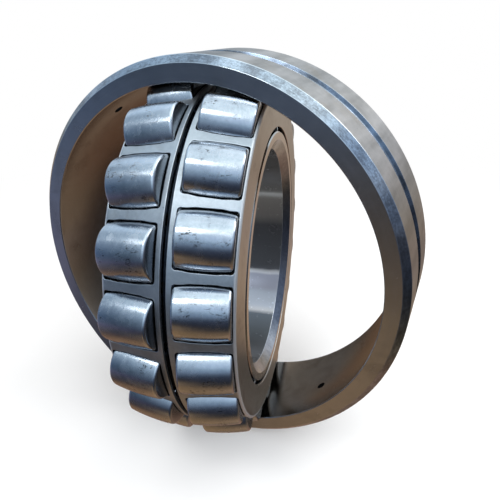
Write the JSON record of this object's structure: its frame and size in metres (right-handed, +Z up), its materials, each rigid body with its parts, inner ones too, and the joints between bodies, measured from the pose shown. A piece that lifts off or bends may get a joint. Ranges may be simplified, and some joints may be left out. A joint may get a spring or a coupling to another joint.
{
  "type": "spherical roller bearing",
  "caption": "Self-aligning rolling bearing with two rows of barrel rollers in window-type steel cages, shown with its inner assembly swivelled out of the outer ring.",
  "frame": {"origin": "centre of the bearing, which is the centre of the spherical raceway", "axes": "Y is the outer ring's axis; +Z is up, and is the diameter that the inner assembly swivels about; the inner assembly's own axis lies in the XY plane, 11.665 degrees from +X towards +Y, in the rest pose"},
  "size_m": [0.25, 0.2316, 0.25],
  "materials": {
    "outer_ring_steel": "ground, satin",
    "inner_ring_steel": "ground bore, satin faces",
    "guide_ring_steel": "oiled, dark",
    "cage_steel": "fine matte, phosphated pressed steel",
    "roller_steel": "polished hardened steel with a film of oil"
  },
  "bodies": {
    "outer_ring": {"outer_ring": "outer_ring_steel"},
    "inner_ring": {"inner_ring": "inner_ring_steel"},
    "guide_ring": {"guide_ring": "guide_ring_steel"},
    "cage_a": {"cage_a": "cage_steel"},
    "cage_b": {"cage_b": "cage_steel"},
    "roller_a_01": {"roller_a_01": "roller_steel"},
    "roller_a_02": {"roller_a_02": "roller_steel"},
    "roller_a_03": {"roller_a_03": "roller_steel"},
    "roller_a_04": {"roller_a_04": "roller_steel"},
    "roller_a_05": {"roller_a_05": "roller_steel"},
    "roller_a_06": {"roller_a_06": "roller_steel"},
    "roller_a_07": {"roller_a_07": "roller_steel"},
    "roller_a_08": {"roller_a_08": "roller_steel"},
    "roller_a_09": {"roller_a_09": "roller_steel"},
    "roller_a_10": {"roller_a_10": "roller_steel"},
    "roller_a_11": {"roller_a_11": "roller_steel"},
    "roller_a_12": {"roller_a_12": "roller_steel"},
    "roller_a_13": {"roller_a_13": "roller_steel"},
    "roller_a_14": {"roller_a_14": "roller_steel"},
    "roller_a_15": {"roller_a_15": "roller_steel"},
    "roller_a_16": {"roller_a_16": "roller_steel"},
    "roller_a_17": {"roller_a_17": "roller_steel"},
    "roller_a_18": {"roller_a_18": "roller_steel"},
    "roller_a_19": {"roller_a_19": "roller_steel"},
    "roller_b_01": {"roller_b_01": "roller_steel"},
    "roller_b_02": {"roller_b_02": "roller_steel"},
    "roller_b_03": {"roller_b_03": "roller_steel"},
    "roller_b_04": {"roller_b_04": "roller_steel"},
    "roller_b_05": {"roller_b_05": "roller_steel"},
    "roller_b_06": {"roller_b_06": "roller_steel"},
    "roller_b_07": {"roller_b_07": "roller_steel"},
    "roller_b_08": {"roller_b_08": "roller_steel"},
    "roller_b_09": {"roller_b_09": "roller_steel"},
    "roller_b_10": {"roller_b_10": "roller_steel"},
    "roller_b_11": {"roller_b_11": "roller_steel"},
    "roller_b_12": {"roller_b_12": "roller_steel"},
    "roller_b_13": {"roller_b_13": "roller_steel"},
    "roller_b_14": {"roller_b_14": "roller_steel"},
    "roller_b_15": {"roller_b_15": "roller_steel"},
    "roller_b_16": {"roller_b_16": "roller_steel"},
    "roller_b_17": {"roller_b_17": "roller_steel"},
    "roller_b_18": {"roller_b_18": "roller_steel"},
    "roller_b_19": {"roller_b_19": "roller_steel"}
  },
  "joints": [
    {"name": "swivel", "type": "hinge", "parent": "outer_ring", "child": "guide_ring", "pos_m": [0, 0, 0], "axis": [0, 0, 1], "range_deg": [-11.66, 80.83]},
    {"name": "inner_spin", "type": "hinge", "parent": "guide_ring", "child": "inner_ring", "pos_m": [0, 0, 0], "axis": [0.9793, 0.2022, 0], "continuous": true},
    {"name": "cage_a_spin", "type": "hinge", "parent": "guide_ring", "child": "cage_a", "pos_m": [0, 0, 0], "axis": [0.9793, 0.2022, 0], "continuous": true},
    {"name": "cage_b_spin", "type": "hinge", "parent": "guide_ring", "child": "cage_b", "pos_m": [0, 0, 0], "axis": [0.9793, 0.2022, 0], "continuous": true},
    {"name": "roller_a_01_spin", "type": "hinge", "parent": "cage_a", "child": "roller_a_01", "pos_m": [0.01865, -0.00367, 0.09909], "axis": [0.9619, 0.2117, -0.1732], "continuous": true},
    {"name": "roller_a_02_spin", "type": "hinge", "parent": "cage_a", "child": "roller_a_02", "pos_m": [0.02507, -0.03479, 0.09133], "axis": [0.9506, 0.2661, -0.1596], "continuous": true},
    {"name": "roller_a_03_spin", "type": "hinge", "parent": "cage_a", "child": "roller_a_03", "pos_m": [0.03064, -0.06175, 0.07368], "axis": [0.9409, 0.3132, -0.1288], "continuous": true},
    {"name": "roller_a_04_spin", "type": "hinge", "parent": "cage_a", "child": "roller_a_04", "pos_m": [0.03475, -0.08165, 0.04804], "axis": [0.9337, 0.348, -0.0839], "continuous": true},
    {"name": "roller_a_05_spin", "type": "hinge", "parent": "cage_a", "child": "roller_a_05", "pos_m": [0.03695, -0.09231, 0.01719], "axis": [0.9299, 0.3666, -0.03], "continuous": true},
    {"name": "roller_a_06_spin", "type": "hinge", "parent": "cage_a", "child": "roller_a_06", "pos_m": [0.037, -0.09258, -0.01552], "axis": [0.9298, 0.3671, 0.0271], "continuous": true},
    {"name": "roller_a_07_spin", "type": "hinge", "parent": "cage_a", "child": "roller_a_07", "pos_m": [0.03491, -0.08243, -0.04655], "axis": [0.9334, 0.3494, 0.0813], "continuous": true},
    {"name": "roller_a_08_spin", "type": "hinge", "parent": "cage_a", "child": "roller_a_08", "pos_m": [0.03089, -0.06297, -0.07253], "axis": [0.9405, 0.3154, 0.1268], "continuous": true},
    {"name": "roller_a_09_spin", "type": "hinge", "parent": "cage_a", "child": "roller_a_09", "pos_m": [0.02539, -0.03631, -0.09065], "axis": [0.9501, 0.2688, 0.1584], "continuous": true},
    {"name": "roller_a_10_spin", "type": "hinge", "parent": "cage_a", "child": "roller_a_10", "pos_m": [0.01899, -0.00532, -0.09895], "axis": [0.9613, 0.2146, 0.1729], "continuous": true},
    {"name": "roller_a_11_spin", "type": "hinge", "parent": "cage_a", "child": "roller_a_11", "pos_m": [0.01239, 0.02663, -0.09653], "axis": [0.9728, 0.1588, 0.1687], "continuous": true},
    {"name": "roller_a_12_spin", "type": "hinge", "parent": "cage_a", "child": "roller_a_12", "pos_m": [0.00631, 0.05607, -0.08365], "axis": [0.9834, 0.1073, 0.1462], "continuous": true},
    {"name": "roller_a_13_spin", "type": "hinge", "parent": "cage_a", "child": "roller_a_13", "pos_m": [0.00141, 0.07983, -0.0617], "axis": [0.992, 0.0658, 0.1078], "continuous": true},
    {"name": "roller_a_14_spin", "type": "hinge", "parent": "cage_a", "child": "roller_a_14", "pos_m": [-0.00179, 0.09531, -0.03306], "axis": [0.9976, 0.0387, 0.0578], "continuous": true},
    {"name": "roller_a_15_spin", "type": "hinge", "parent": "cage_a", "child": "roller_a_15", "pos_m": [-0.00293, 0.10085, -0.00085], "axis": [0.9996, 0.0291, 0.0015], "continuous": true},
    {"name": "roller_a_16_spin", "type": "hinge", "parent": "cage_a", "child": "roller_a_16", "pos_m": [-0.0019, 0.09585, 0.03146], "axis": [0.9978, 0.0378, -0.055], "continuous": true},
    {"name": "roller_a_17_spin", "type": "hinge", "parent": "cage_a", "child": "roller_a_17", "pos_m": [0.0012, 0.08084, 0.06036], "axis": [0.9924, 0.064, -0.1055], "continuous": true},
    {"name": "roller_a_18_spin", "type": "hinge", "parent": "cage_a", "child": "roller_a_18", "pos_m": [0.00603, 0.05746, 0.08272], "axis": [0.9839, 0.1049, -0.1446], "continuous": true},
    {"name": "roller_a_19_spin", "type": "hinge", "parent": "cage_a", "child": "roller_a_19", "pos_m": [0.01206, 0.02823, 0.09612], "axis": [0.9734, 0.156, -0.168], "continuous": true},
    {"name": "roller_b_01_spin", "type": "hinge", "parent": "cage_b", "child": "roller_b_01", "pos_m": [-0.0142, -0.01788, 0.09828], "axis": [0.9696, 0.1741, 0.1718], "continuous": true},
    {"name": "roller_b_02_spin", "type": "hinge", "parent": "cage_b", "child": "roller_b_02", "pos_m": [-0.00791, -0.04835, 0.0882], "axis": [0.9806, 0.1208, 0.1541], "continuous": true},
    {"name": "roller_b_03_spin", "type": "hinge", "parent": "cage_b", "child": "roller_b_03", "pos_m": [-0.00262, -0.07398, 0.06857], "axis": [0.9899, 0.076, 0.1198], "continuous": true},
    {"name": "roller_b_04_spin", "type": "hinge", "parent": "cage_b", "child": "roller_b_04", "pos_m": [0.0011, -0.09196, 0.0415], "axis": [0.9964, 0.0446, 0.0725], "continuous": true},
    {"name": "roller_b_05_spin", "type": "hinge", "parent": "cage_b", "child": "roller_b_05", "pos_m": [0.00283, -0.10037, 0.00994], "axis": [0.9994, 0.0299, 0.0174], "continuous": true},
    {"name": "roller_b_06_spin", "type": "hinge", "parent": "cage_b", "child": "roller_b_06", "pos_m": [0.0024, -0.09828, -0.0227], "axis": [0.9986, 0.0336, -0.0397], "continuous": true},
    {"name": "roller_b_07_spin", "type": "hinge", "parent": "cage_b", "child": "roller_b_07", "pos_m": [-0.00015, -0.08593, -0.05288], "axis": [0.9942, 0.0551, -0.0924], "continuous": true},
    {"name": "roller_b_08_spin", "type": "hinge", "parent": "cage_b", "child": "roller_b_08", "pos_m": [-0.00454, -0.06465, -0.07733], "axis": [0.9865, 0.0923, -0.1351], "continuous": true},
    {"name": "roller_b_09_spin", "type": "hinge", "parent": "cage_b", "child": "roller_b_09", "pos_m": [-0.0103, -0.03675, -0.0934], "axis": [0.9764, 0.1411, -0.1632], "continuous": true},
    {"name": "roller_b_10_spin", "type": "hinge", "parent": "cage_b", "child": "roller_b_10", "pos_m": [-0.01681, -0.00525, -0.09935], "axis": [0.9651, 0.1961, -0.1736], "continuous": true},
    {"name": "roller_b_11_spin", "type": "hinge", "parent": "cage_b", "child": "roller_b_11", "pos_m": [-0.02335, 0.02644, -0.09453], "axis": [0.9537, 0.2515, -0.1652], "continuous": true},
    {"name": "roller_b_12_spin", "type": "hinge", "parent": "cage_b", "child": "roller_b_12", "pos_m": [-0.02922, 0.05488, -0.07947], "axis": [0.9434, 0.3012, -0.1389], "continuous": true},
    {"name": "roller_b_13_spin", "type": "hinge", "parent": "cage_b", "child": "roller_b_13", "pos_m": [-0.03378, 0.07698, -0.0558], "axis": [0.9354, 0.3398, -0.0975], "continuous": true},
    {"name": "roller_b_14_spin", "type": "hinge", "parent": "cage_b", "child": "roller_b_14", "pos_m": [-0.03655, 0.09036, -0.02608], "axis": [0.9306, 0.3632, -0.0456], "continuous": true},
    {"name": "roller_b_15_spin", "type": "hinge", "parent": "cage_b", "child": "roller_b_15", "pos_m": [-0.03721, 0.09357, 0.00647], "axis": [0.9294, 0.3688, 0.0113], "continuous": true},
    {"name": "roller_b_16_spin", "type": "hinge", "parent": "cage_b", "child": "roller_b_16", "pos_m": [-0.0357, 0.08625, 0.03832], "axis": [0.9321, 0.356, 0.067], "continuous": true},
    {"name": "roller_b_17_spin", "type": "hinge", "parent": "cage_b", "child": "roller_b_17", "pos_m": [-0.03218, 0.0692, 0.06601], "axis": [0.9382, 0.3262, 0.1154], "continuous": true},
    {"name": "roller_b_18_spin", "type": "hinge", "parent": "cage_b", "child": "roller_b_18", "pos_m": [-0.02703, 0.04426, 0.08655], "axis": [0.9472, 0.2827, 0.1512], "continuous": true},
    {"name": "roller_b_19_spin", "type": "hinge", "parent": "cage_b", "child": "roller_b_19", "pos_m": [-0.02081, 0.01415, 0.09771], "axis": [0.9581, 0.23, 0.1708], "continuous": true}
  ],
  "couplings": [
    {"joint": "cage_a_spin", "follows": "inner_spin", "ratio": 0.42468},
    {"joint": "cage_b_spin", "follows": "inner_spin", "ratio": 0.42468},
    {"joint": "roller_a_01_spin", "follows": "inner_spin", "ratio": -3.1945},
    {"joint": "roller_a_02_spin", "follows": "inner_spin", "ratio": -3.1945},
    {"joint": "roller_a_03_spin", "follows": "inner_spin", "ratio": -3.1945},
    {"joint": "roller_a_04_spin", "follows": "inner_spin", "ratio": -3.1945},
    {"joint": "roller_a_05_spin", "follows": "inner_spin", "ratio": -3.1945},
    {"joint": "roller_a_06_spin", "follows": "inner_spin", "ratio": -3.1945},
    {"joint": "roller_a_07_spin", "follows": "inner_spin", "ratio": -3.1945},
    {"joint": "roller_a_08_spin", "follows": "inner_spin", "ratio": -3.1945},
    {"joint": "roller_a_09_spin", "follows": "inner_spin", "ratio": -3.1945},
    {"joint": "roller_a_10_spin", "follows": "inner_spin", "ratio": -3.1945},
    {"joint": "roller_a_11_spin", "follows": "inner_spin", "ratio": -3.1945},
    {"joint": "roller_a_12_spin", "follows": "inner_spin", "ratio": -3.1945},
    {"joint": "roller_a_13_spin", "follows": "inner_spin", "ratio": -3.1945},
    {"joint": "roller_a_14_spin", "follows": "inner_spin", "ratio": -3.1945},
    {"joint": "roller_a_15_spin", "follows": "inner_spin", "ratio": -3.1945},
    {"joint": "roller_a_16_spin", "follows": "inner_spin", "ratio": -3.1945},
    {"joint": "roller_a_17_spin", "follows": "inner_spin", "ratio": -3.1945},
    {"joint": "roller_a_18_spin", "follows": "inner_spin", "ratio": -3.1945},
    {"joint": "roller_a_19_spin", "follows": "inner_spin", "ratio": -3.1945},
    {"joint": "roller_b_01_spin", "follows": "inner_spin", "ratio": -3.1945},
    {"joint": "roller_b_02_spin", "follows": "inner_spin", "ratio": -3.1945},
    {"joint": "roller_b_03_spin", "follows": "inner_spin", "ratio": -3.1945},
    {"joint": "roller_b_04_spin", "follows": "inner_spin", "ratio": -3.1945},
    {"joint": "roller_b_05_spin", "follows": "inner_spin", "ratio": -3.1945},
    {"joint": "roller_b_06_spin", "follows": "inner_spin", "ratio": -3.1945},
    {"joint": "roller_b_07_spin", "follows": "inner_spin", "ratio": -3.1945},
    {"joint": "roller_b_08_spin", "follows": "inner_spin", "ratio": -3.1945},
    {"joint": "roller_b_09_spin", "follows": "inner_spin", "ratio": -3.1945},
    {"joint": "roller_b_10_spin", "follows": "inner_spin", "ratio": -3.1945},
    {"joint": "roller_b_11_spin", "follows": "inner_spin", "ratio": -3.1945},
    {"joint": "roller_b_12_spin", "follows": "inner_spin", "ratio": -3.1945},
    {"joint": "roller_b_13_spin", "follows": "inner_spin", "ratio": -3.1945},
    {"joint": "roller_b_14_spin", "follows": "inner_spin", "ratio": -3.1945},
    {"joint": "roller_b_15_spin", "follows": "inner_spin", "ratio": -3.1945},
    {"joint": "roller_b_16_spin", "follows": "inner_spin", "ratio": -3.1945},
    {"joint": "roller_b_17_spin", "follows": "inner_spin", "ratio": -3.1945},
    {"joint": "roller_b_18_spin", "follows": "inner_spin", "ratio": -3.1945},
    {"joint": "roller_b_19_spin", "follows": "inner_spin", "ratio": -3.1945}
  ]
}
